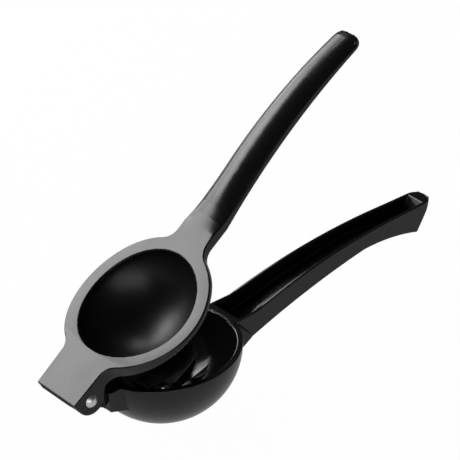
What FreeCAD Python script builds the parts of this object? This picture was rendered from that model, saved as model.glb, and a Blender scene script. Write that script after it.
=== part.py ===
import FreeCAD, Part
import math
import os
import Sketcher

# A hinged lemon squeezer: two cast levers and the rivet they turn on.
# Row frame: +X from the hinge to the handle ends, +Z up, origin at the centre of the bowl's flat foot.
# Each lever is drawn closed, in a frame with the rivet's axis at its origin, and is then placed.

SIZES = {
    "open_angle": 30.0,  # how far the press lever stands open at rest, degrees
    "hinge_reach": 48.5,  # rivet axis to bowl axis
    "rim_drop": 1.0,  # rivet axis down to the bowl's rim
    "bowl_radius": 36.0,
    "bowl_depth": 33.0,
    "foot_radius": 8.660254037844386,  # the flat under the bowl, where the bowl's sphere ends
    "bowl_wall": 2.8,
    "drain_radius": 1.8,
    "drain_length": 20.0,
    "drain_circle": 6.2,
    "outer_drain_circle": 12.6,
    "plate_width": 27.8,  # width over the hinge ears
    "ear_radius": 7.0,
    "ear_width": 4.6,
    "ear_slope": 30.0,  # the ears' round foot ends this far under level, degrees
    "tab_top": 6.4,
    "tab_skin": 2.3,
    "tab_flat": 17.0,  # rivet axis to where the tab starts to dip
    "rivet_radius": 2.0,
    "rivet_clearance": 0.06,
    "head_radius": 3.1,
    "head_rise": 1.7,
    "side_gap": 0.3,
    "tongue_radius": 3.8,
    "shoulder_reach": 9.4,
    "lug_drop": 7.2,
    "lug_fall": 15.0,
    "lug_reach": 11.0,
    "lug_foot_drop": 3.6,
    "nose_slope": 53.0,  # the tongue's round nose ends this far round from straight up, degrees
    "tongue_foot_reach": 2.0,
    "tongue_fall": 4.0,
    "tongue_overlap": 1.0,
    "rim_land": 2.0,
    "tongue_brow": 2.2,
    "ear_notch": 0.5,
    "ear_overlap": 1.0,
    "ring_reach": 45.6,
    "ring_radius": 34.5,
    "dome_gap": 0.4,  # dome to the bowl's inner edge on the hinge's side when shut
    "ring_gap": 0.3,  # press ring over the bowl's rim when shut
    "ring_top": 1.8,  # height of the dished top over the rivet axis at its lowest
    "dome_wall": 1.9,
    "dome_depth": 21.5,
    "dome_inset": 0.4,  # the dome's blank ends this far under the lowest of the ring's top
    "tab_fillet": 7.0,
    "root_fillet": 8.0,
    "handle_gap": 0.6,  # between the handles when shut
    "meet_start": 95.0,
    "meet_apex": 172.0,
    "meet_height": 8.7,
    "meet_radius": 320.0,
    "press_length": 197.0,
    "press_root_half": 10.0,
    "press_tip_half": 7.6,
    "press_skin": 2.2,
    "crown_start": 104.0,
    "crown_start_top": 8.8,
    "crown_radius": 240.0,
    "press_tip_top": 12.8,
    "press_tip_round": 5.5,
    "press_channel_inset": 4.0,
    "channel_slope": 2.0,
    "bowl_handle_length": 202.5,
    "bowl_root_half": 10.4,
    "bowl_tip_half": 6.2,
    "bowl_handle_skin": 1.8,
    "bowl_handle_floor": 2.4,
    "bowl_tip_round": 4.5,
    "handle_overlap": 4.0,
    "root_drop": 6.0,
    "channel_inset": 1.0,
    "channel_root_rise": 5.0,
    "channel_bend": 4.0,
    "channel_bend_rise": 1.6,
    "root_under": -12.4,
    "root_station": 92.0,
    "waist_station": 161.0,
    "waist_under": 0.7,
    "tip_station": 194.0,
    "tip_under": -5.2,
    "under_root_radius": 420.0,
    "under_tip_radius": 98.0,
    "over": 6.0,  # how far a cutting shape stands out past the face it opens
    "stock": 60.0,  # half the block that the plan shapes are cut from
}


# A number together with the expression that gives it from the sheet.
class Dim:
    def __init__(self, value, text):
        self.value = float(value)
        self.text = text

    def _join(self, other, sign, value):
        return Dim(value, "(" + self.text + " " + sign + " " + dim(other).text + ")")

    def __add__(self, other):
        return self._join(other, "+", self.value + dim(other).value)

    def __sub__(self, other):
        return self._join(other, "-", self.value - dim(other).value)

    def __mul__(self, other):
        return self._join(other, "*", self.value * dim(other).value)

    def __truediv__(self, other):
        return self._join(other, "/", self.value / dim(other).value)

    def __neg__(self):
        return Dim(-self.value, "(0 - " + self.text + ")")

    def __radd__(self, other):
        return dim(other) + self

    def __rsub__(self, other):
        return dim(other) - self

    def __rmul__(self, other):
        return dim(other) * self


def dim(value):
    return value if isinstance(value, Dim) else Dim(value, repr(float(value)))


def root(value):
    return Dim(math.sqrt(value.value), "sqrt(" + value.text + ")")


def cosine(angle):
    return Dim(math.cos(math.radians(angle.value)), "cos(" + angle.text + ")")


def sine(angle):
    return Dim(math.sin(math.radians(angle.value)), "sin(" + angle.text + ")")


doc = FreeCAD.newDocument("lemon_squeezer")
sheet = doc.addObject("Spreadsheet::Sheet", "sizes")
for line, (alias, number) in enumerate(SIZES.items(), start=1):
    sheet.set("A" + str(line), alias)
    sheet.set("B" + str(line), str(number))
    sheet.setAlias("B" + str(line), alias)
doc.recompute()
size = {alias: Dim(number, "sizes." + alias) for alias, number in SIZES.items()}

SIDE = FreeCAD.Placement(FreeCAD.Vector(), FreeCAD.Rotation(FreeCAD.Vector(1, 0, 0), 90))
PLAN = FreeCAD.Placement()


def bind(item, path, value):
    item.setExpression(path, dim(value).text)


# A closed outline through named corners; a corner's third entry is the signed radius of the arc
# that leaves it, positive when the arc bulges to the right of the way it runs.
def outline(name, placement, corners):
    sketch = doc.addObject("Sketcher::SketchObject", name)
    sketch.Placement = placement
    count = len(corners)
    points = [FreeCAD.Vector(dim(c[0]).value, dim(c[1]).value, 0) for c in corners]
    for index, corner in enumerate(corners):
        start, end = points[index], points[(index + 1) % count]
        if len(corner) == 2:
            sketch.addGeometry(Part.LineSegment(start, end), False)
            continue
        radius = dim(corner[2]).value
        chord = end - start
        half = chord.Length / 2
        side = FreeCAD.Vector(chord.y, -chord.x, 0)
        side.normalize()
        sagitta = abs(radius) - math.sqrt(radius * radius - half * half)
        middle = (start + end) * 0.5 + side * math.copysign(sagitta, radius)
        first, last = (start, end) if radius > 0 else (end, start)
        sketch.addGeometry(Part.Arc(first, middle, last), False)
    clockwise = [len(corner) == 3 and dim(corner[2]).value < 0 for corner in corners]
    ends = [(2, 1) if turned else (1, 2) for turned in clockwise]
    for index in range(count):
        after = (index + 1) % count
        joint = Sketcher.Constraint("Coincident", index, ends[index][1], after, ends[after][0])
        sketch.addConstraint(joint)
    for index, corner in enumerate(corners):
        for axis, value in (("DistanceX", dim(corner[0])), ("DistanceY", dim(corner[1]))):
            rule = Sketcher.Constraint(axis, -1, 1, index, ends[index][0], value.value)
            number = sketch.addConstraint(rule)
            if "sizes." in value.text:
                bind(sketch, "Constraints[" + str(number) + "]", value)
        if len(corner) == 3:
            radius = dim(corner[2])
            radius = radius if radius.value > 0 else -radius
            number = sketch.addConstraint(Sketcher.Constraint("Radius", index, radius.value))
            bind(sketch, "Constraints[" + str(number) + "]", radius)
    return sketch


# A slab of an outline: side outlines run both ways along Y, plan outlines from low to high in Z.
def slab(name, sketch, width, start=None):
    item = doc.addObject("Part::Extrusion", name)
    item.Base = sketch
    item.DirMode = "Custom"
    item.Solid = True
    if start is None:
        item.Dir = FreeCAD.Vector(0, 1, 0)
        item.Symmetric = True
        bind(item, "LengthFwd", width)
    else:
        item.Dir = FreeCAD.Vector(0, 0, 1)
        bind(item, "LengthFwd", width)
        bind(item, "LengthRev", start)
    return item


def spin(name, sketch, reach):
    item = doc.addObject("Part::Revolution", name)
    item.Source = sketch
    item.Axis = FreeCAD.Vector(0, 0, 1)
    item.Angle = 360
    item.Solid = True
    bind(item, "Base.x", reach)
    return item


def rod(name, radius, length, x, y, z, along=None):
    item = doc.addObject("Part::Cylinder", name)
    bind(item, "Radius", radius)
    bind(item, "Height", length)
    turn = FreeCAD.Rotation(FreeCAD.Vector(1, 0, 0), -90) if along == "y" else FreeCAD.Rotation()
    item.Placement = FreeCAD.Placement(FreeCAD.Vector(), turn)
    for axis, value in zip("xyz", (x, y, z)):
        bind(item, "Placement.Base." + axis, value)
    return item


def block(name, low, high):
    item = doc.addObject("Part::Box", name)
    for side, axis, a, b in zip(("Length", "Width", "Height"), "xyz", low, high):
        bind(item, side, dim(b) - dim(a))
        bind(item, "Placement.Base." + axis, dim(a))
    return item


def gather(kind, name, items):
    item = doc.addObject("Part::" + kind, name)
    item.Shapes = items
    return item


def cut(name, base, tool):
    item = doc.addObject("Part::Cut", name)
    item.Base = base
    item.Tool = tool
    return item


s = size
reach = s["hinge_reach"]
rim = -s["rim_drop"]
half_width = s["plate_width"] / 2
inner_half = half_width - s["ear_width"]
ring_under = rim + s["ring_gap"]
hub = s["ring_reach"]
stock = s["stock"]
over = s["over"]


# Height of the line on which the two handles meet, at a given distance from the rivet.
def meeting(station):
    drop = s["meet_radius"] * s["meet_radius"] - (station - s["meet_apex"]) * (station - s["meet_apex"])
    return s["meet_height"] - s["meet_radius"] + root(drop)


# Where a fillet of a given radius leaves a straight edge at a given half width and meets a disc.
def blend(centre, radius, half, fillet, sign):
    run = root((radius + fillet) * (radius + fillet) - (half + fillet) * (half + fillet))
    share = radius / (radius + fillet)
    on_edge = (centre + run * sign, half)
    on_disc = (centre + run * share * sign, (half + fillet) * share)
    return on_edge, on_disc


def mirrored(point):
    return (point[0], -dim(point[1]))


# The bowl lever
depth = s["bowl_depth"]
foot_radius = s["foot_radius"]
foot = rim - depth
square_gap = s["bowl_radius"] * s["bowl_radius"] - foot_radius * foot_radius
rise = (square_gap - depth * depth) / (depth * 2)  # the bowl's sphere is centred this far above the rim
bowl_sphere = root(s["bowl_radius"] * s["bowl_radius"] + rise * rise)
hollow_sphere = bowl_sphere - s["bowl_wall"]
hollow_radius = root(hollow_sphere * hollow_sphere - rise * rise)
hollow_floor = rim + rise - hollow_sphere
dome_radius = hub - reach + hollow_radius - s["dome_gap"]


def bowl_blank():
    sketch = outline("bowl_outline", SIDE, [
        (reach, foot),
        (reach + foot_radius, foot, bowl_sphere),
        (reach + s["bowl_radius"], rim),
        (reach, rim),
    ])
    return spin("bowl_blank", sketch, reach)


def bowl_hollow():
    sketch = outline("bowl_hollow_outline", SIDE, [
        (reach, hollow_floor, hollow_sphere),
        (reach + hollow_radius, rim),
        (reach + hollow_radius, rim + over),
        (reach, rim + over),
    ])
    return spin("bowl_hollow", sketch, reach)


def bowl_handle_blank():
    tip = s["bowl_handle_length"]
    inside = reach + s["bowl_radius"] - s["handle_overlap"]
    side = outline("bowl_handle_side", SIDE, [
        (inside, rim),
        (inside, s["root_under"] - s["root_drop"]),
        (s["root_station"], s["root_under"], -s["under_root_radius"]),
        (s["waist_station"], s["waist_under"], -s["under_tip_radius"]),
        (s["tip_station"], s["tip_under"]),
        (tip, meeting(tip), s["meet_radius"]),
        (s["meet_start"], meeting(s["meet_start"])),
    ])
    round_tip = s["bowl_tip_round"]
    wide, slim = s["bowl_root_half"], s["bowl_tip_half"]
    plan = outline("bowl_handle_plan", PLAN, [
        (inside, -wide),
        (tip - round_tip, -slim, round_tip),
        (tip, round_tip - slim),
        (tip, slim - round_tip, round_tip),
        (tip - round_tip, slim),
        (inside, wide),
    ])
    return gather("MultiCommon", "bowl_handle_blank", [
        slab("bowl_handle_profile", side, s["plate_width"]),
        slab("bowl_handle_shape", plan, stock, stock),
    ])


def bowl_handle_channel():
    tip = s["bowl_handle_length"]
    skin = s["bowl_handle_skin"]
    floor = s["bowl_handle_floor"]
    start = reach + s["bowl_radius"] + s["channel_inset"]
    bend = s["root_station"] + s["channel_bend"]
    bend_floor = s["root_under"] + floor + s["channel_bend_rise"]
    side = outline("bowl_channel_side", SIDE, [
        (start, rim + over),
        (start, s["root_under"] + s["channel_root_rise"]),
        (bend, bend_floor, -s["under_root_radius"]),
        (s["waist_station"], s["waist_under"] + floor, -s["under_tip_radius"]),
        (s["tip_station"] - skin, s["tip_under"] + floor),
        (tip - skin, meeting(tip) + over),
    ])
    round_tip = s["bowl_tip_round"] - skin
    wide, slim = s["bowl_root_half"] - skin, s["bowl_tip_half"] - skin
    plan = outline("bowl_channel_plan", PLAN, [
        (start, -wide),
        (tip - skin - round_tip, -slim, round_tip),
        (tip - skin, round_tip - slim),
        (tip - skin, slim - round_tip, round_tip),
        (tip - skin - round_tip, slim),
        (start, wide),
    ])
    return gather("MultiCommon", "bowl_handle_channel", [
        slab("bowl_channel_profile", side, s["plate_width"]),
        slab("bowl_channel_shape", plan, stock, stock),
    ])


def bowl_lug():
    shoulder = s["shoulder_reach"]
    inside = shoulder + s["lug_reach"]
    joined = shoulder + s["tongue_overlap"]
    round_nose = s["tongue_radius"]
    tongue_width = (inner_half - s["side_gap"]) * 2
    tongue = outline("tongue_side", SIDE, [
        (dim(0), round_nose, round_nose),
        (-round_nose * cosine(s["nose_slope"]), -round_nose * sine(s["nose_slope"])),
        (s["tongue_foot_reach"], -s["lug_drop"]),
        (joined, -s["lug_drop"] - s["tongue_fall"]),
        (joined, rim),
        (shoulder - s["rim_land"], rim),
        (round_nose, rim + s["tongue_brow"]),
    ])
    lug = outline("lug_side", SIDE, [
        (shoulder, rim),
        (shoulder, -s["lug_drop"] - s["lug_foot_drop"]),
        (inside, -s["lug_fall"]),
        (inside, rim),
    ])
    return [
        slab("hinge_tongue", tongue, tongue_width),
        slab("hinge_lug", lug, s["plate_width"]),
    ]


def drain_holes():
    holes = []
    low = foot - over
    for ring, (circle, number) in enumerate(((s["drain_circle"], 6), (s["outer_drain_circle"], 12))):
        for index in range(number):
            angle = dim(360.0 * index / number)
            x = reach + circle * cosine(angle)
            y = circle * sine(angle)
            name = "drain_" + str(ring) + "_" + str(index)
            holes.append(rod(name, s["drain_radius"], s["drain_length"], x, y, low))
    return holes


def rivet_hole(name):
    bore = s["rivet_radius"] + s["rivet_clearance"]
    return rod(name, bore, s["plate_width"] + over * 2, 0, -half_width - over, 0, along="y")


def make_bowl_lever():
    body = gather("MultiFuse", "bowl_lever_blank", [bowl_blank(), bowl_handle_blank()] + bowl_lug())
    tools = [bowl_hollow(), bowl_handle_channel(), rivet_hole("tongue_bore")] + drain_holes()
    lever = cut("bowl_lever", body, gather("MultiFuse", "bowl_lever_tools", tools))
    lever.Label = "bowl_lever"
    return lever


# The press lever
def press_blank():
    top = s["tab_top"]
    tip = s["press_length"]
    dish_half = (s["crown_start"] - s["tab_flat"]) / 2
    dish_drop = (s["crown_start_top"] + top) / 2 - s["ring_top"]
    dish_radius = (dish_half * dish_half + dish_drop * dish_drop) / (dish_drop * 2)
    under_start = s["meet_start"]
    gap = s["handle_gap"]
    side = outline("press_side", SIDE, [
        (-s["ear_radius"], top - s["tab_skin"]),
        (s["shoulder_reach"], top - s["tab_skin"]),
        (s["shoulder_reach"], ring_under),
        (hub + s["ring_radius"], ring_under),
        (under_start, meeting(under_start) + gap, -s["meet_radius"]),
        (tip, meeting(tip) + gap),
        (tip, s["press_tip_top"], s["crown_radius"]),
        (s["crown_start"], s["crown_start_top"], -dish_radius),
        (s["tab_flat"], top),
        (-s["ear_radius"], top),
    ])
    half = half_width
    round_tip = s["press_tip_round"]
    wide, slim = s["press_root_half"], s["press_tip_half"]
    tab_edge, tab_disc = blend(hub, s["ring_radius"], half, s["tab_fillet"], -1)
    root_edge, root_disc = blend(hub, s["ring_radius"], wide, s["root_fillet"], 1)
    plan = outline("press_plan", PLAN, [
        (-s["ear_radius"], -half),
        mirrored(tab_edge) + (-s["tab_fillet"],),
        mirrored(tab_disc) + (s["ring_radius"],),
        mirrored(root_disc) + (-s["root_fillet"],),
        mirrored(root_edge),
        (tip - round_tip, -slim, round_tip),
        (tip, round_tip - slim),
        (tip, slim - round_tip, round_tip),
        (tip - round_tip, slim),
        root_edge + (-s["root_fillet"],),
        root_disc + (s["ring_radius"],),
        tab_disc + (-s["tab_fillet"],),
        tab_edge,
        (-s["ear_radius"], half),
    ])
    return gather("MultiCommon", "press_blank", [
        slab("press_profile", side, stock * 2),
        slab("press_shape", plan, stock, stock),
    ])


def press_ears():
    foot_x = s["ear_radius"] * cosine(s["ear_slope"])
    foot_z = -s["ear_radius"] * sine(s["ear_slope"])
    ear = outline("ear_side", SIDE, [
        (-s["ear_radius"], dim(0), s["ear_radius"]),
        (foot_x, foot_z),
        (s["shoulder_reach"] - s["ear_notch"], ring_under),
        (s["shoulder_reach"] + s["ear_overlap"], ring_under),
        (s["shoulder_reach"] + s["ear_overlap"], s["tab_top"] - s["ear_overlap"]),
        (-s["ear_radius"], s["tab_top"] - s["ear_overlap"]),
    ])
    pair = slab("ear_pair", ear, s["plate_width"])
    between = block("ear_space", (-stock, -inner_half, -stock), (stock, inner_half, stock))
    return cut("press_ears", pair, between)


def press_dome():
    depth = s["dome_depth"]
    curve = (dome_radius * dome_radius + depth * depth) / (depth * 2)
    high = s["ring_top"] - s["dome_inset"]
    outer = outline("dome_outline", SIDE, [
        (hub, ring_under - depth, curve),
        (hub + dome_radius, ring_under),
        (hub + dome_radius, high),
        (hub, high),
    ])
    hole = dome_radius - s["dome_wall"]
    inner_depth = depth - s["dome_wall"]
    inner_curve = (hole * hole + inner_depth * inner_depth) / (inner_depth * 2)
    inner = outline("dome_hollow_outline", SIDE, [
        (hub, ring_under - inner_depth, inner_curve),
        (hub + hole, ring_under),
        (hub + hole, high + over * 2),
        (hub, high + over * 2),
    ])
    return spin("dome_blank", outer, hub), spin("dome_hollow", inner, hub)


def press_channel():
    skin = s["press_skin"]
    start = s["meet_start"] + s["press_channel_inset"]
    tip = s["press_length"] - skin
    side = outline("press_channel_side", SIDE, [
        (start, meeting(start) - over),
        (tip, meeting(tip) - over),
        (tip, s["press_tip_top"] - skin, s["crown_radius"]),
        (s["crown_start"] + s["channel_slope"], s["crown_start_top"] - skin),
        (start, s["crown_start_top"] - skin - s["channel_slope"]),
    ])
    round_tip = s["press_tip_round"] - skin
    wide, slim = s["press_root_half"] - skin, s["press_tip_half"] - skin
    root_edge = blend(hub, s["ring_radius"], s["press_root_half"], s["root_fillet"], 1)[0]
    plan = outline("press_channel_plan", PLAN, [
        (root_edge[0], -wide),
        (tip - round_tip, -slim, round_tip),
        (tip, round_tip - slim),
        (tip, slim - round_tip, round_tip),
        (tip - round_tip, slim),
        (root_edge[0], wide),
    ])
    return gather("MultiCommon", "press_channel", [
        slab("press_channel_profile", side, s["plate_width"]),
        slab("press_channel_shape", plan, stock, stock),
    ])


def make_press_lever():
    dome, hollow = press_dome()
    body = gather("MultiFuse", "press_lever_blank", [press_blank(), press_ears(), dome])
    tools = gather("MultiFuse", "press_lever_tools", [hollow, press_channel(), rivet_hole("ear_bore")])
    lever = cut("press_lever", body, tools)
    lever.Label = "press_lever"
    return lever


# The rivet: a shank with a domed head at each end, fast in the press lever's ears
def make_rivet():
    rise = s["head_rise"]
    curve = (s["head_radius"] * s["head_radius"] + rise * rise) / (rise * 2)
    end = half_width
    sketch = outline("rivet_outline", PLAN, [
        (dim(0), -end - rise, curve),
        (s["head_radius"], -end),
        (s["rivet_radius"], -end),
        (s["rivet_radius"], end),
        (s["head_radius"], end, curve),
        (dim(0), end + rise),
    ])
    item = doc.addObject("Part::Revolution", "hinge_rivet")
    item.Source = sketch
    item.Axis = FreeCAD.Vector(0, 1, 0)
    item.Angle = 360
    item.Solid = True
    item.Label = "hinge_rivet"
    return item


levers = [make_press_lever(), make_bowl_lever(), make_rivet()]
for lever in levers:
    if lever.Label != "bowl_lever":
        turn = FreeCAD.Rotation(FreeCAD.Vector(0, -1, 0), SIZES["open_angle"])
        lever.Placement = FreeCAD.Placement(FreeCAD.Vector(), turn)
        bind(lever, "Placement.Rotation.Angle", s["open_angle"])
    bind(lever, "Placement.Base.x", -reach)
    bind(lever, "Placement.Base.z", -foot)
doc.recompute()

faults = [item.Name for item in doc.Objects if "Invalid" in item.State or "Error" in item.State]
for lever in levers:
    if lever.Shape.isNull() or not lever.Shape.isValid() or len(lever.Shape.Solids) != 1:
        faults.append(lever.Label + " has " + str(len(lever.Shape.Solids)) + " solids")
if faults:
    raise RuntimeError("these did not build: " + ", ".join(faults))

os.makedirs("parts", exist_ok=True)
for lever in levers:
    lever.Shape.exportStep("parts/" + lever.Label + ".step")
    box = lever.Shape.BoundBox
    corners = [round(v, 1) for v in (box.XMin, box.YMin, box.ZMin, box.XMax, box.YMax, box.ZMax)]
    print(lever.Label, "volume", round(lever.Shape.Volume), "box", corners)
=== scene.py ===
import bpy
import bmesh
import math
import numpy as np
from mathutils import Vector, Matrix
from mathutils.bvhtree import BVHTree


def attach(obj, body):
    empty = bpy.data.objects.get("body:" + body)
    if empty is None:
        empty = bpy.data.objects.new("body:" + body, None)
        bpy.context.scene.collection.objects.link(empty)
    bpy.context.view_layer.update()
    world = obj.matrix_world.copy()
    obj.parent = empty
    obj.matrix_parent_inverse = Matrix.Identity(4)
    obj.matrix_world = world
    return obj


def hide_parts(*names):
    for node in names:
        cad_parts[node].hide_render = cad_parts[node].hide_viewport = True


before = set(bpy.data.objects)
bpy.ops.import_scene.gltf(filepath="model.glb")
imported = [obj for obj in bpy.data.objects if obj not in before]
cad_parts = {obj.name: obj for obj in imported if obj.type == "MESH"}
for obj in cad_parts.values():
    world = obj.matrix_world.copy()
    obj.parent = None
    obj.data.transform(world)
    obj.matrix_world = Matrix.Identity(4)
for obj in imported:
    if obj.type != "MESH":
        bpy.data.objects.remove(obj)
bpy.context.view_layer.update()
print("frame loaded")

# The shut frame has its origin on the rivet's axis and +X along the handles, in millimetres.
hinge = {"x": -48.5, "z": 34.0, "open": 30.0}
mm = 0.001


def toShut(points, openAngle):
    turn = math.radians(openAngle)
    x = points[:, 0] / mm - hinge["x"]
    z = points[:, 2] / mm - hinge["z"]
    return np.stack([x * math.cos(turn) + z * math.sin(turn), points[:, 1] / mm,
                     z * math.cos(turn) - x * math.sin(turn)], axis=1)


def toRow(points, openAngle):
    turn = math.radians(openAngle)
    x = points[:, 0] * math.cos(turn) - points[:, 2] * math.sin(turn) + hinge["x"]
    z = points[:, 0] * math.sin(turn) + points[:, 2] * math.cos(turn) + hinge["z"]
    return np.stack([x, points[:, 1], z], axis=1) * mm


def readPoints(mesh):
    flat = np.empty(len(mesh.vertices) * 3)
    mesh.vertices.foreach_get("co", flat)
    return flat.reshape(-1, 3)


def writePoints(mesh, points):
    mesh.vertices.foreach_set("co", np.ascontiguousarray(points, dtype=np.float32).ravel())
    mesh.update()


def addObject(name, data):
    piece = bpy.data.objects.new(name, data)
    bpy.context.scene.collection.objects.link(piece)
    return piece


def bakeModifiers(piece):  # the evaluated mesh takes the place of the piece's own, and no modifier is left
    depsgraph = bpy.context.evaluated_depsgraph_get()
    solid = bpy.data.meshes.new_from_object(piece.evaluated_get(depsgraph), depsgraph=depsgraph)
    solid.name = piece.name
    piece.modifiers.clear()
    piece.data = solid


# Nodes

class Nodes:
    def __init__(self, tree):
        self.tree = tree

    def add(self, kind, settings=None, sockets=None):
        node = self.tree.nodes.new(kind)
        for key, value in (settings or {}).items():
            setattr(node, key, value)
        for key, value in (sockets or {}).items():
            socket = node.inputs[key]
            if isinstance(value, Field):
                value = value.socket
            if isinstance(value, bpy.types.NodeSocket):
                self.tree.links.new(value, socket)
            else:
                socket.default_value = value
        return node

    def field(self, node, name=0):
        return Field(self, node.outputs[name])


class Field:  # a socket that takes part in sums
    def __init__(self, nodes, socket):
        self.nodes = nodes
        self.socket = socket

    def math(self, operation, first, second):
        node = self.nodes.add("ShaderNodeMath", {"operation": operation}, {0: first, 1: second})
        return self.nodes.field(node)

    def __add__(self, other):
        return self.math("ADD", self, other)

    def __radd__(self, other):
        return self.math("ADD", other, self)

    def __sub__(self, other):
        return self.math("SUBTRACT", self, other)

    def __mul__(self, other):
        return self.math("MULTIPLY", self, other)


class Tree(Nodes):  # a Geometry Nodes group whose inputs are set by their identifiers
    def __init__(self, name):
        super().__init__(bpy.data.node_groups.new(name, "GeometryNodeTree"))
        self.given = {}

    def input(self, name, kind, value):
        entry = self.tree.interface.new_socket(name=name, in_out="INPUT", socket_type=kind)
        if kind != "NodeSocketMaterial":
            entry.default_value = value
        self.given[name] = (entry.identifier, value)

    def output(self):
        self.tree.interface.new_socket(name="Geometry", in_out="OUTPUT", socket_type="NodeSocketGeometry")

    def onto(self, piece):
        step = piece.modifiers.new("nodes", "NODES")
        step.node_group = self.tree
        for identifier, value in self.given.values():
            step[identifier] = value
        bakeModifiers(piece)


def newMaterial(name):
    material = bpy.data.materials.new(name)
    material.use_nodes = True
    material.node_tree.nodes.clear()
    return material, Nodes(material.node_tree)


def noise(nodes, place, scale, detail, roughness=0.5):
    node = nodes.add("ShaderNodeTexNoise", {"noise_dimensions": "3D"},
                     {"Vector": place, "Scale": scale, "Detail": detail, "Roughness": roughness})
    return nodes.field(node, "Fac")


def spread(nodes, value, low, high):  # from 0 at low to 1 at high, with soft ends
    node = nodes.add("ShaderNodeMapRange", {"interpolation_type": "SMOOTHSTEP"},
                     {"Value": value, "From Min": low, "From Max": high})
    return nodes.field(node, "Result")


def mixColour(nodes, factor, first, second):
    node = nodes.add("ShaderNodeMix", {"data_type": "RGBA"}, {"Factor": factor})
    for name, value in (("A", first), ("B", second)):
        socket = [entry for entry in node.inputs if entry.name == name and entry.type == "RGBA"][0]
        if isinstance(value, Field):
            nodes.tree.links.new(value.socket, socket)
        else:
            socket.default_value = (*value, 1.0)
    return Field(nodes, [entry for entry in node.outputs if entry.type == "RGBA"][0])


def attributeField(nodes, name):
    return nodes.field(nodes.add("ShaderNodeAttribute", {"attribute_name": name}), "Fac")


# The enamel: black over cast metal, thinner on the edges and rubbed grey where it wears

enamel = {
    "colour": (0.005, 0.005, 0.0055),
    "thinColour": (0.030, 0.029, 0.028),
    "wornColour": (0.16, 0.15, 0.14),
    "wornShare": 0.55,
    "refraction": 1.52,
    "pressGloss": 0.25,
    "bowlGloss": 0.13,
    "bowlShift": (0.31, 0.17, 0.23),  # metres between the two castings' patterns
    "worn": 0.38,  # roughness where the enamel is rubbed
    "satin": 0.11,  # how much duller the inside of the press dome is
    "smearRough": 0.05,
    "thinRough": 0.05,
    "peelSize": 2.2,  # mm between the dimples of the orange peel
    "peelDepth": 0.010,
    "waveSize": 14.0,
    "waveDepth": 0.05,
    "pitDepth": 0.004,
    "pitRange": (0.66, 0.8),
    "speckScale": 900.0,
    "cloudScale": 45.0,
    "rubEdge": 0.75,
    "rubSpeck": 0.45,
    "rubCloud": 0.25,
    "rubRange": (0.72, 1.12),
    "thinRange": (0.15, 0.9),
    "smearRange": (0.42, 0.72),
    "bump": 0.9,
}


def enamelMaterial(name, shift, gloss):
    material, nodes = newMaterial(name)
    place = nodes.add("ShaderNodeTexCoord").outputs["Object"]
    moved = nodes.add("ShaderNodeMapping", None, {"Vector": place, "Location": shift}).outputs["Vector"]
    edge = attributeField(nodes, "edgeWear")
    satin = attributeField(nodes, "satin")
    wave = noise(nodes, moved, 1 / (enamel["waveSize"] * mm), detail=1.0)
    peel = noise(nodes, moved, 1 / (enamel["peelSize"] * mm), detail=1.5)
    speck = noise(nodes, moved, enamel["speckScale"], detail=3.0, roughness=0.6)
    cloud = noise(nodes, moved, enamel["cloudScale"], detail=3.0)
    wear = edge * enamel["rubEdge"] + speck * enamel["rubSpeck"] + cloud * enamel["rubCloud"]
    rub = spread(nodes, wear, *enamel["rubRange"])
    thin = spread(nodes, edge, *enamel["thinRange"])
    smear = spread(nodes, cloud, *enamel["smearRange"])
    colour = mixColour(nodes, thin, enamel["colour"], enamel["thinColour"])
    colour = mixColour(nodes, rub * enamel["wornShare"], colour, enamel["wornColour"])
    rough = gloss + satin * enamel["satin"] + smear * enamel["smearRough"] + thin * enamel["thinRough"]
    rough = rough + rub * (enamel["worn"] - gloss)
    pits = spread(nodes, speck, *enamel["pitRange"])
    height = peel * enamel["peelDepth"] + wave * enamel["waveDepth"] - pits * enamel["pitDepth"]
    bump = nodes.add("ShaderNodeBump", None, {
        "Strength": enamel["bump"], "Distance": mm, "Height": height})
    shader = nodes.add("ShaderNodeBsdfPrincipled", None, {
        "Base Color": colour, "Roughness": rough, "IOR": enamel["refraction"],
        "Normal": bump.outputs["Normal"]})
    nodes.add("ShaderNodeOutputMaterial", None, {"Surface": shader.outputs["BSDF"]})
    return material


# The rivet's steel: finely grained across, with a little grime

steel = {
    "colour": (0.92, 0.91, 0.90),
    "dark": (0.55, 0.54, 0.53),
    "gloss": 0.30,
    "lay": (1.0, 0.2, 1.0),
    "grainScale": 1400.0,
    "grainRough": 0.08,
    "grainBump": 0.35,
    "grainDepth": 0.02,
    "grimeScale": 320.0,
    "grimeEdge": 0.2,
    "grimeRange": (0.5, 0.85),
    "grimeRough": 0.12,
}


def steelMaterial(name):
    material, nodes = newMaterial(name)
    place = nodes.add("ShaderNodeTexCoord").outputs["Object"]
    stretched = nodes.add("ShaderNodeMapping", None, {"Vector": place, "Scale": steel["lay"]})
    grain = noise(nodes, stretched.outputs["Vector"], steel["grainScale"], detail=3.0, roughness=0.6)
    cloud = noise(nodes, place, steel["grimeScale"], detail=2.0)
    edge = attributeField(nodes, "edgeWear")
    grime = spread(nodes, cloud + edge * steel["grimeEdge"], *steel["grimeRange"])
    colour = mixColour(nodes, grime, steel["colour"], steel["dark"])
    rough = steel["gloss"] + grain * steel["grainRough"] + grime * steel["grimeRough"]
    bump = nodes.add("ShaderNodeBump", None, {
        "Strength": steel["grainBump"], "Distance": steel["grainDepth"] * mm, "Height": grain})
    shader = nodes.add("ShaderNodeBsdfPrincipled", None, {
        "Base Color": colour, "Metallic": 1.0, "Roughness": rough, "Normal": bump.outputs["Normal"]})
    nodes.add("ShaderNodeOutputMaterial", None, {"Surface": shader.outputs["BSDF"]})
    return material


pressEnamel = enamelMaterial("pressEnamel", (0.0, 0.0, 0.0), enamel["pressGloss"])
bowlEnamel = enamelMaterial("bowlEnamel", enamel["bowlShift"], enamel["bowlGloss"])
rivetSteel = steelMaterial("rivetSteel")
print("materials ready")


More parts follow.
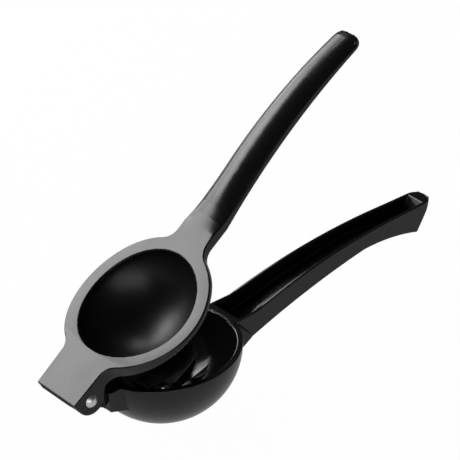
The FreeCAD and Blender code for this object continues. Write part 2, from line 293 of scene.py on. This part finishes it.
# How sharply a convex edge turns at each vertex, from 0 to 1; the enamel thins and wears there.
edgeMark = {"own": 0.5, "from": 0.05, "span": 0.22, "tiny": 1e-9}


def markEdges(mesh):
    points = readPoints(mesh)
    count = len(points)
    pairs = np.empty(len(mesh.edges) * 2, dtype=np.int64)
    mesh.edges.foreach_get("vertices", pairs)
    pairs = pairs.reshape(-1, 2)
    normals = np.empty(count * 3, dtype=np.float32)
    mesh.vertex_normals.foreach_get("vector", normals)
    normals = normals.reshape(-1, 3)
    span = points[pairs[:, 1]] - points[pairs[:, 0]]
    length = np.maximum(np.linalg.norm(span, axis=1), edgeMark["tiny"])
    total = np.zeros(count)
    links = np.zeros(count)
    for here, sign in ((0, -1.0), (1, 1.0)):
        bend = sign * np.einsum("ij,ij->i", span, normals[pairs[:, here]]) / length
        np.add.at(total, pairs[:, here], bend)
        np.add.at(links, pairs[:, here], 1.0)
    links = np.maximum(links, 1.0)
    sharp = total / links
    around = np.zeros(count)
    np.add.at(around, pairs[:, 0], sharp[pairs[:, 1]])
    np.add.at(around, pairs[:, 1], sharp[pairs[:, 0]])
    sharp = edgeMark["own"] * sharp + (1.0 - edgeMark["own"]) * around / links
    attribute = mesh.attributes.new("edgeWear", "FLOAT", "POINT")
    worn = np.clip((sharp - edgeMark["from"]) / edgeMark["span"], 0.0, 1.0)
    attribute.data.foreach_set("value", worn.astype(np.float32))


# What both castings share, in mm and degrees: near points and short edges are merged before the rounding.
casting = {"weld": 0.002, "flatAngle": 0.6, "shortEdge": 0.12, "edgeSegments": 3, "edgeAngle": 24.0,
           "strayShare": 0.45, "normalWeight": 70, "cutNear": 1e-5}


def weldedMesh(node, openAngle, cast, shape):  # a copy of the CAD casting, cut and shaped in the shut frame
    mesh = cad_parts[node].data.copy()
    mesh.materials.clear()
    writePoints(mesh, toShut(readPoints(mesh), openAngle))
    work = bmesh.new()
    work.from_mesh(mesh)
    bmesh.ops.remove_doubles(work, verts=work.verts, dist=casting["weld"])
    bmesh.ops.dissolve_limit(work, angle_limit=math.radians(casting["flatAngle"]),
                             verts=work.verts, edges=work.edges)
    bmesh.ops.remove_doubles(work, verts=work.verts, dist=casting["shortEdge"])
    shape(work, cast)
    work.to_mesh(mesh)
    work.free()
    writePoints(mesh, toRow(readPoints(mesh), openAngle))
    return mesh


def roundEdges(piece, width):
    sharp = BVHTree.FromPolygons([vert.co.copy() for vert in piece.data.vertices],
                                 [tuple(face.vertices) for face in piece.data.polygons])
    step = piece.modifiers.new("edges", "BEVEL")
    step.width = width * mm
    step.segments = casting["edgeSegments"]
    step.limit_method = "ANGLE"
    step.angle_limit = math.radians(casting["edgeAngle"])
    step.use_clamp_overlap = False
    step.harden_normals = False
    bakeModifiers(piece)
    pulled = 0
    for vert in piece.data.vertices:  # a corner that the bevel threw outwards goes back onto the casting
        spot, normal, face, away = sharp.find_nearest(vert.co)
        if away > width * mm * casting["strayShare"]:
            vert.co = spot
            pulled += 1
    print(piece.name, "bevelled,", pulled, "corners pulled back")


def smoothNormals(piece):
    piece.data.polygons.foreach_set("use_smooth", [True] * len(piece.data.polygons))
    normals = piece.modifiers.new("normals", "WEIGHTED_NORMAL")
    normals.keep_sharp = False
    normals.weight = casting["normalWeight"]
    bakeModifiers(piece)


def castCopy(name, node, openAngle, cast, shape):
    piece = addObject(name, weldedMesh(node, openAngle, cast, shape))
    roundEdges(piece, cast["edgeRound"])
    smoothNormals(piece)
    return piece


# Flat cuts, each by a point and a normal, through the faces that keep() picks
def cutFaces(work, planes, keep):
    for point, normal in planes:
        faces = [face for face in work.faces if keep(face.calc_center_median())]
        edges = list({edge for face in faces for edge in face.edges})
        points = list({vert for face in faces for vert in face.verts})
        bmesh.ops.bisect_plane(work, geom=points + edges + faces, dist=casting["cutNear"],
                               plane_co=Vector(point), plane_no=Vector(normal).normalized())


# The press lever's top: the plate's dish up to where the crown's arc begins, then that arc

pressTop = {"tabFlat": 17.0, "tabTop": 6.4, "ringTop": 1.8, "join": 104.0, "joinTop": 8.8,
            "tip": 197.0, "tipTop": 12.8, "crown": 240.0}


def arcThrough(x1, z1, x2, z2, radius):
    span = math.hypot(x2 - x1, z2 - z1)
    rise = math.sqrt(radius ** 2 - (span / 2) ** 2)
    return {"x": (x1 + x2) / 2 + (z2 - z1) / span * rise,
            "z": (z1 + z2) / 2 - (x2 - x1) / span * rise, "radius": radius}


dishHalf = (pressTop["join"] - pressTop["tabFlat"]) / 2
dishDrop = (pressTop["joinTop"] + pressTop["tabTop"]) / 2 - pressTop["ringTop"]
pressCrown = arcThrough(pressTop["join"], pressTop["joinTop"],
                        pressTop["tip"], pressTop["tipTop"], pressTop["crown"])
pressDish = arcThrough(pressTop["join"], pressTop["joinTop"], pressTop["tabFlat"], pressTop["tabTop"],
                       (dishHalf ** 2 + dishDrop ** 2) / (2 * dishDrop))


def topHeight(x):
    if x < pressTop["join"]:
        return pressDish["z"] - math.sqrt(pressDish["radius"] ** 2 - (x - pressDish["x"]) ** 2)
    return pressCrown["z"] + math.sqrt(pressCrown["radius"] ** 2 - (x - pressCrown["x"]) ** 2)


# The press lever: the CAD casting with a rounded crown on its handle and a rolled hinge tab

pressCast = {
    "edgeRound": 0.7,
    "rootStation": 84.1,
    "rootHalf": 10.0,
    "tipStation": 191.5,
    "tipHalf": 7.6,
    "tip": 197.0,
    "crownStart": 87.0,
    "crownFull": 118.0,
    "crownLead": 0.5,
    "acrossRadius": 11.5,
    "endRound": 3.0,
    "endShare": 0.8,
    "shares": (0.1, 0.25, 0.4, 0.55, 0.68, 0.8, 0.9),  # of the half width, where it is cut lengthwise
    "firstStation": 1.0,
    "stationGap": 3.0,
    "cutSkin": 0.8,  # mm under the top that counts as top when it is cut
    "moveSkin": 0.6,  # and when it is moved
    "tabEnd": -7.0,
    "tabOut": 0.9,
    "tabRound": 1.1,
    "tabHalf": 13.9,
    "tabCorner": 1.7,
    "tabUnder": 3.6,
    "tabSkin": 2.0,
    "tabBlend": 3.0,
    "tabEndCuts": (1.0, 0.75, 0.5, 0.3, 0.15, 0.05),
    "tabSideCuts": (1.0, 0.8, 0.6, 0.4, 0.2, 0.08),
}


def roundDrop(radius, depth):  # how far a quarter round has fallen at a depth past where it begins
    return radius - math.sqrt(max(radius ** 2 - max(depth, 0.0) ** 2, 0.0))


def roundCrown(work, cast):
    def onTop(point):
        ahead = point.x > cast["crownStart"] - cast["crownLead"]
        return ahead and point.z > topHeight(point.x) - cast["cutSkin"]

    run = cast["tipStation"] - cast["rootStation"]
    narrowing = cast["rootHalf"] - cast["tipHalf"]
    planes = []
    for share in cast["shares"]:
        for side in (-share, share):
            planes.append(((cast["rootStation"], side * cast["rootHalf"], 0), (side * narrowing, run, 0)))
    for station in np.arange(cast["crownStart"] + cast["firstStation"], cast["tip"], cast["stationGap"]):
        planes.append(((float(station), 0, 0), (1, 0, 0)))
    cutFaces(work, planes, onTop)
    for vert in work.verts:
        x, y, z = vert.co
        if x <= cast["crownStart"] or z < topHeight(x) - cast["moveSkin"]:
            continue
        blend = min((x - cast["crownStart"]) / (cast["crownFull"] - cast["crownStart"]), 1.0)
        blend = math.sin(blend * math.pi / 2)
        drop = roundDrop(cast["acrossRadius"], abs(y))
        endDrop = roundDrop(cast["endRound"], x - (cast["tip"] - cast["endRound"]))
        vert.co.z = z - drop * blend - endDrop * cast["endShare"]


def roundTab(work, cast):  # the hinge tab's end rolls over, and its two corners are round in plan
    end, radius, corner = cast["tabEnd"], cast["tabRound"], cast["tabCorner"]
    start = end + radius
    inner = start + cast["tabBlend"]

    def onTab(point):
        return point.x < inner and point.z > cast["tabUnder"]

    planes = [((end + radius * share, 0, 0), (1, 0, 0)) for share in cast["tabEndCuts"]]
    for side in (-1, 1):
        for share in cast["tabSideCuts"]:
            planes.append(((0, side * (cast["tabHalf"] - corner * share), 0), (0, 1, 0)))
    cutFaces(work, planes, onTab)
    centreX, centreY = end + corner, cast["tabHalf"] - corner
    for vert in work.verts:
        x, y, z = vert.co
        if x > inner or z < cast["tabUnder"]:
            continue
        if z > cast["tabUnder"] + cast["tabSkin"]:
            vert.co.z = z - roundDrop(radius, start - x)
        outX, outY = centreX - x, abs(y) - centreY
        reach = math.hypot(max(outX, 0.0), max(outY, 0.0))
        if outX > 0 and outY > 0 and reach > corner:
            vert.co.x = centreX - outX * corner / reach
            vert.co.y = math.copysign(centreY + outY * corner / reach, y)
        share = max(inner - vert.co.x, 0.0) / (radius + cast["tabBlend"])
        vert.co.x -= cast["tabOut"] * min(share, 1.0)


def shapePress(work, cast):
    roundCrown(work, cast)
    roundTab(work, cast)


# The bowl lever: the CAD casting with its outer drain holes closer in and its handle's end flared

bowlCast = {
    "edgeRound": 0.55,
    "reach": 48.5,
    "sphereZ": 1.0,
    "drainCircle": 12.6,
    "drainRadius": 1.8,
    "drainMargin": 0.1,
    "drains": 12,
    "drainPull": 2.2,
    "flareStart": 180.0,
    "flareEnd": 202.5,
    "flareUnder": -5.2,
    "flareRise": 12.0,
    "flareOut": 2.0,
    "flareUp": 0.9,
}


def pullDrain(vert, cast):  # a point on an outer drain hole moves inwards along the bowl's sphere
    x, y, z = vert.co
    step = 2 * math.pi / cast["drains"]
    near = round(math.atan2(y, x - cast["reach"]) / step) * step
    centreX = cast["reach"] + cast["drainCircle"] * math.cos(near)
    centreY = cast["drainCircle"] * math.sin(near)
    away = math.hypot(x - centreX, y - centreY)
    if z < 0 and away < cast["drainRadius"] + cast["drainMargin"]:
        sphere = math.hypot(math.hypot(x - cast["reach"], y), z - cast["sphereZ"])
        vert.co.x -= cast["drainPull"] * math.cos(near)
        vert.co.y -= cast["drainPull"] * math.sin(near)
        out = math.hypot(vert.co.x - cast["reach"], vert.co.y)
        vert.co.z = cast["sphereZ"] - math.sqrt(sphere ** 2 - out ** 2)


def flareEnd(vert, cast):
    x, y, z = vert.co
    if x > cast["flareStart"]:
        along = (x - cast["flareStart"]) / (cast["flareEnd"] - cast["flareStart"])
        high = max(0.0, min(1.0, (z - cast["flareUnder"]) / cast["flareRise"]))
        vert.co.x += cast["flareOut"] * along * along * high
        vert.co.z += cast["flareUp"] * along * along * high


def shapeBowl(work, cast):
    for vert in work.verts:
        pullDrain(vert, cast)
        flareEnd(vert, cast)


# The hollow of the press dome is duller than the rest of the casting.
hollow = {"hub": 45.6, "radius": 28.2, "top": 3.0}


def markHollow(mesh, openAngle):
    points = toShut(readPoints(mesh), openAngle)
    fromAxis = np.hypot(points[:, 0] - hollow["hub"], points[:, 1])
    inside = (fromAxis < hollow["radius"]) & (points[:, 2] < hollow["top"])
    satin = mesh.attributes.new("satin", "FLOAT", "POINT")
    satin.data.foreach_set("value", inside.astype(np.float32))


pressPiece = castCopy("pressCasting", "press_lever", hinge["open"], pressCast, shapePress)
bowlPiece = castCopy("bowlCasting", "bowl_lever", 0.0, bowlCast, shapeBowl)
markHollow(pressPiece.data, hinge["open"])
for piece, material, body, node, slot in (
        (pressPiece, pressEnamel, "press_lever", "press_lever", "press_enamel"),
        (bowlPiece, bowlEnamel, "bowl_lever", "bowl_lever", "bowl_enamel")):
    markEdges(piece.data)
    piece.data.materials.clear()
    piece.data.materials.append(material)
    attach(piece, body)
    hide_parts(node)
    print(piece.name, "has", len(piece.data.polygons), "faces")


# The rivet: a turned pin with a domed head and its small land at each end

rivetTurn = {"segments": 72, "domeSteps": 14, "shank": 2.0, "head": 3.1, "rise": 1.7, "half": 13.9,
             "land": 0.18, "landInset": 0.3, "landFoot": 0.5, "underCut": 0.05}


def rivetProfile():  # pairs of radius and height, from one head's top to the other's
    turn = rivetTurn
    curve = (turn["head"] ** 2 + turn["rise"] ** 2) / (2 * turn["rise"])
    full = math.asin(turn["head"] / curve)
    upper = []
    for index in range(turn["domeSteps"] - 1):
        angle = full * index / (turn["domeSteps"] - 1)
        upper.append((curve * math.sin(angle), turn["half"] + turn["rise"] - curve + curve * math.cos(angle)))
    upper += [(turn["head"] - turn["land"] * turn["landInset"], turn["half"] + turn["land"]),
              (turn["head"], turn["half"] + turn["land"] * turn["landFoot"]),
              (turn["head"] - turn["underCut"], turn["half"]),
              (turn["shank"], turn["half"])]
    return upper + [(out, -up) for out, up in reversed(upper)]


def turnRivet(name, openAngle):
    profile = rivetProfile()
    segments = rivetTurn["segments"]
    points, faces = [], []
    rings = profile[1:-1]
    points.append((0.0, profile[0][1], 0.0))
    for out, up in rings:
        for index in range(segments):
            angle = 2 * math.pi * index / segments
            points.append((out * math.cos(angle), up, out * math.sin(angle)))
    points.append((0.0, profile[-1][1], 0.0))
    last = len(points) - 1
    for index in range(segments):
        after = (index + 1) % segments
        faces.append((0, 1 + after, 1 + index))
        for ring in range(len(rings) - 1):
            low, high = 1 + ring * segments, 1 + (ring + 1) * segments
            faces.append((low + index, low + after, high + after, high + index))
        final = 1 + (len(rings) - 1) * segments
        faces.append((last, final + index, final + after))
    mesh = bpy.data.meshes.new(name)
    mesh.from_pydata(toRow(np.array(points), openAngle).tolist(), [], faces)
    mesh.polygons.foreach_set("use_smooth", [True] * len(mesh.polygons))
    mesh.update()
    return addObject(name, mesh)


rivetPiece = turnRivet("hingeRivet", hinge["open"])
markEdges(rivetPiece.data)
rivetPiece.data.materials.append(rivetSteel)
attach(rivetPiece, "press_lever")
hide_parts("hinge_rivet")
print("rivet turned")


# The fine flutes down the outside of the press dome, as Geometry Nodes

flutes = {"count": 64, "rim": 29.9, "depth": 21.5, "level": -0.7, "hub": 45.6,
          "from": 20.0, "to": 70.5, "width": 0.6, "sink": 0.2, "arcSteps": 28, "sides": 8}


def fluteTree(material):
    curve = (flutes["rim"] ** 2 + flutes["depth"] ** 2) / (2 * flutes["depth"])
    middle = flutes["level"] - flutes["depth"] + curve
    tree = Tree("domeFlutes")
    tree.input("Flutes", "NodeSocketInt", flutes["count"])
    tree.input("Curve Radius", "NodeSocketFloat", (curve - flutes["sink"]) * mm)
    tree.input("Flute Width", "NodeSocketFloat", flutes["width"] * mm)
    tree.input("Enamel", "NodeSocketMaterial", material)
    tree.output()
    given = tree.add("NodeGroupInput").outputs
    first = math.radians(flutes["from"] - 90)
    sweep = math.radians(flutes["to"] - flutes["from"])
    arc = tree.add("GeometryNodeCurveArc", {"mode": "RADIUS"}, {
        "Resolution": flutes["arcSteps"], "Radius": given["Curve Radius"],
        "Start Angle": first, "Sweep Angle": sweep})
    upright = tree.add("GeometryNodeTransform", None, {
        "Geometry": arc.outputs["Curve"], "Rotation": (math.pi / 2, 0.0, 0.0)})
    section = tree.add("GeometryNodeCurvePrimitiveCircle", {"mode": "RADIUS"}, {
        "Resolution": flutes["sides"], "Radius": given["Flute Width"]})
    bead = tree.add("GeometryNodeCurveToMesh", None, {
        "Curve": upright.outputs["Geometry"], "Profile Curve": section.outputs["Curve"], "Fill Caps": True})
    spots = tree.add("GeometryNodePoints", None, {"Count": given["Flutes"]})
    index = tree.field(tree.add("GeometryNodeInputIndex"), "Index")
    share = tree.add("ShaderNodeMath", {"operation": "DIVIDE"}, {0: index, 1: given["Flutes"]})
    angle = tree.field(share) * (2 * math.pi)
    turn = tree.add("ShaderNodeCombineXYZ", None, {"Z": angle})
    ring = tree.add("GeometryNodeInstanceOnPoints", None, {
        "Points": spots.outputs["Points"], "Instance": bead.outputs["Mesh"],
        "Rotation": turn.outputs["Vector"]})
    lifted = tree.add("GeometryNodeTransform", None, {
        "Geometry": ring.outputs["Instances"], "Translation": (flutes["hub"] * mm, 0.0, middle * mm)})
    opened = tree.add("GeometryNodeTransform", None, {
        "Geometry": lifted.outputs["Geometry"], "Rotation": (0.0, -math.radians(hinge["open"]), 0.0),
        "Translation": (hinge["x"] * mm, 0.0, hinge["z"] * mm)})
    solid = tree.add("GeometryNodeRealizeInstances", None, {"Geometry": opened.outputs["Geometry"]})
    smoothed = tree.add("GeometryNodeSetShadeSmooth", None, {"Geometry": solid.outputs["Geometry"]})
    painted = tree.add("GeometryNodeSetMaterial", None, {
        "Geometry": smoothed.outputs["Geometry"], "Material": given["Enamel"]})
    tree.add("NodeGroupOutput", None, {"Geometry": painted.outputs["Geometry"]})
    return tree


flutePiece = addObject("domeFlutes", bpy.data.meshes.new("domeFlutes"))
fluteTree(pressEnamel).onto(flutePiece)
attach(flutePiece, "press_lever")
print("flutes laid:", len(flutePiece.data.polygons), "faces")


# Camera, floor and light

lens = {"aim": (0.04239, 0.0, 0.07323), "around": -0.6468081, "up": 0.5563162, "roll": -0.0762593,
        "distance": 1.3, "focal": 232.83, "sensor": 36.0}


def placeCamera():
    around, up, roll = lens["around"], lens["up"], lens["roll"]
    back = Vector((math.sin(around) * math.cos(up), -math.cos(around) * math.cos(up), math.sin(up)))
    right = Vector((math.cos(around), math.sin(around), 0.0))
    above = back.cross(right)
    across = right * math.cos(roll) + above * math.sin(roll)
    upward = above * math.cos(roll) - right * math.sin(roll)
    data = bpy.data.cameras.new("camera")
    data.lens = lens["focal"]
    data.sensor_width = lens["sensor"]
    camera = addObject("camera", data)
    turn = Matrix((across, upward, back)).transposed().to_4x4()
    camera.matrix_world = Matrix.Translation(Vector(lens["aim"]) + back * lens["distance"]) @ turn
    bpy.context.scene.camera = camera


studio = {
    "floorReach": 4.0,
    "floorLevel": -0.0005,
    "floorWhite": 0.86,
    "seenShare": 0.985,
    "glossyWhite": 0.44,
    "surround": 0.05,
    "white": (1.0, 1.0, 1.0, 1.0),
    "centre": (0.03, 0.0, 0.04),
    "panels": {
        "backPanel": {"toward": (-0.16, 0.82, 0.46), "size": (1.15, 0.75), "radiance": 3.6, "away": 0.95},
        "backCore": {"toward": (-0.26, 0.70, 0.66), "size": (0.42, 0.32), "radiance": 3.2, "away": 0.75},
        "topPanel": {"toward": (0.20, 0.50, 0.84), "size": (0.2, 0.2), "radiance": 4.5, "away": 0.9},
        "frontCard": {"toward": (-0.62, -0.78, 0.02), "size": (0.8, 0.5), "radiance": 1.5, "away": 0.8},
    },
}


def placeFloor():  # white to the camera, and a dimmer white in what the enamel mirrors
    reach, level = studio["floorReach"], studio["floorLevel"]
    corners = [(-reach, -reach, level), (reach, -reach, level),
               (reach, reach, level), (-reach, reach, level)]
    mesh = bpy.data.meshes.new("floor")
    mesh.from_pydata(corners, [], [(0, 1, 2, 3)])
    floor = addObject("floor", mesh)
    material, nodes = newMaterial("floorWhite")
    paths = nodes.add("ShaderNodeLightPath").outputs
    matt = nodes.add("ShaderNodeBsdfDiffuse", None, {"Color": (*(studio["floorWhite"],) * 3, 1.0)})
    shine = nodes.add("ShaderNodeEmission", None, {"Strength": studio["glossyWhite"]})
    mirrored = nodes.add("ShaderNodeMixShader", None, {
        "Fac": paths["Is Glossy Ray"], 1: matt.outputs["BSDF"], 2: shine.outputs["Emission"]})
    seen = nodes.add("ShaderNodeEmission", None, {"Color": studio["white"], "Strength": 1.0})
    share = Field(nodes, paths["Is Camera Ray"]) * studio["seenShare"]
    mixed = nodes.add("ShaderNodeMixShader", None, {
        "Fac": share, 1: mirrored.outputs["Shader"], 2: seen.outputs["Emission"]})
    nodes.add("ShaderNodeOutputMaterial", None, {"Surface": mixed.outputs["Shader"]})
    mesh.materials.append(material)


def placeWorld():
    world = bpy.data.worlds.new("studio")
    bpy.context.scene.world = world
    world.use_nodes = True
    world.node_tree.nodes.clear()
    nodes = Nodes(world.node_tree)
    ray = nodes.add("ShaderNodeLightPath").outputs["Is Camera Ray"]
    dim = nodes.add("ShaderNodeBackground", None, {"Color": studio["white"], "Strength": studio["surround"]})
    seen = nodes.add("ShaderNodeBackground", None, {"Color": studio["white"], "Strength": 1.0})
    mixed = nodes.add("ShaderNodeMixShader", None, {
        "Fac": ray, 1: dim.outputs["Background"], 2: seen.outputs["Background"]})
    nodes.add("ShaderNodeOutputWorld", None, {"Surface": mixed.outputs["Shader"]})


def placePanels():
    for name, panel in studio["panels"].items():
        toward = Vector(panel["toward"]).normalized()
        data = bpy.data.lights.new(name, "AREA")
        data.shape = "RECTANGLE"
        data.size, data.size_y = panel["size"]
        data.energy = panel["radiance"] * math.pi * panel["size"][0] * panel["size"][1]
        lamp = addObject(name, data)
        lamp.location = Vector(studio["centre"]) + toward * panel["away"]
        lamp.rotation_euler = toward.to_track_quat("Z", "Y").to_euler()


placeCamera()
placeFloor()
placeWorld()
placePanels()
bpy.context.scene.view_settings.view_transform = "Standard"
print("studio set")
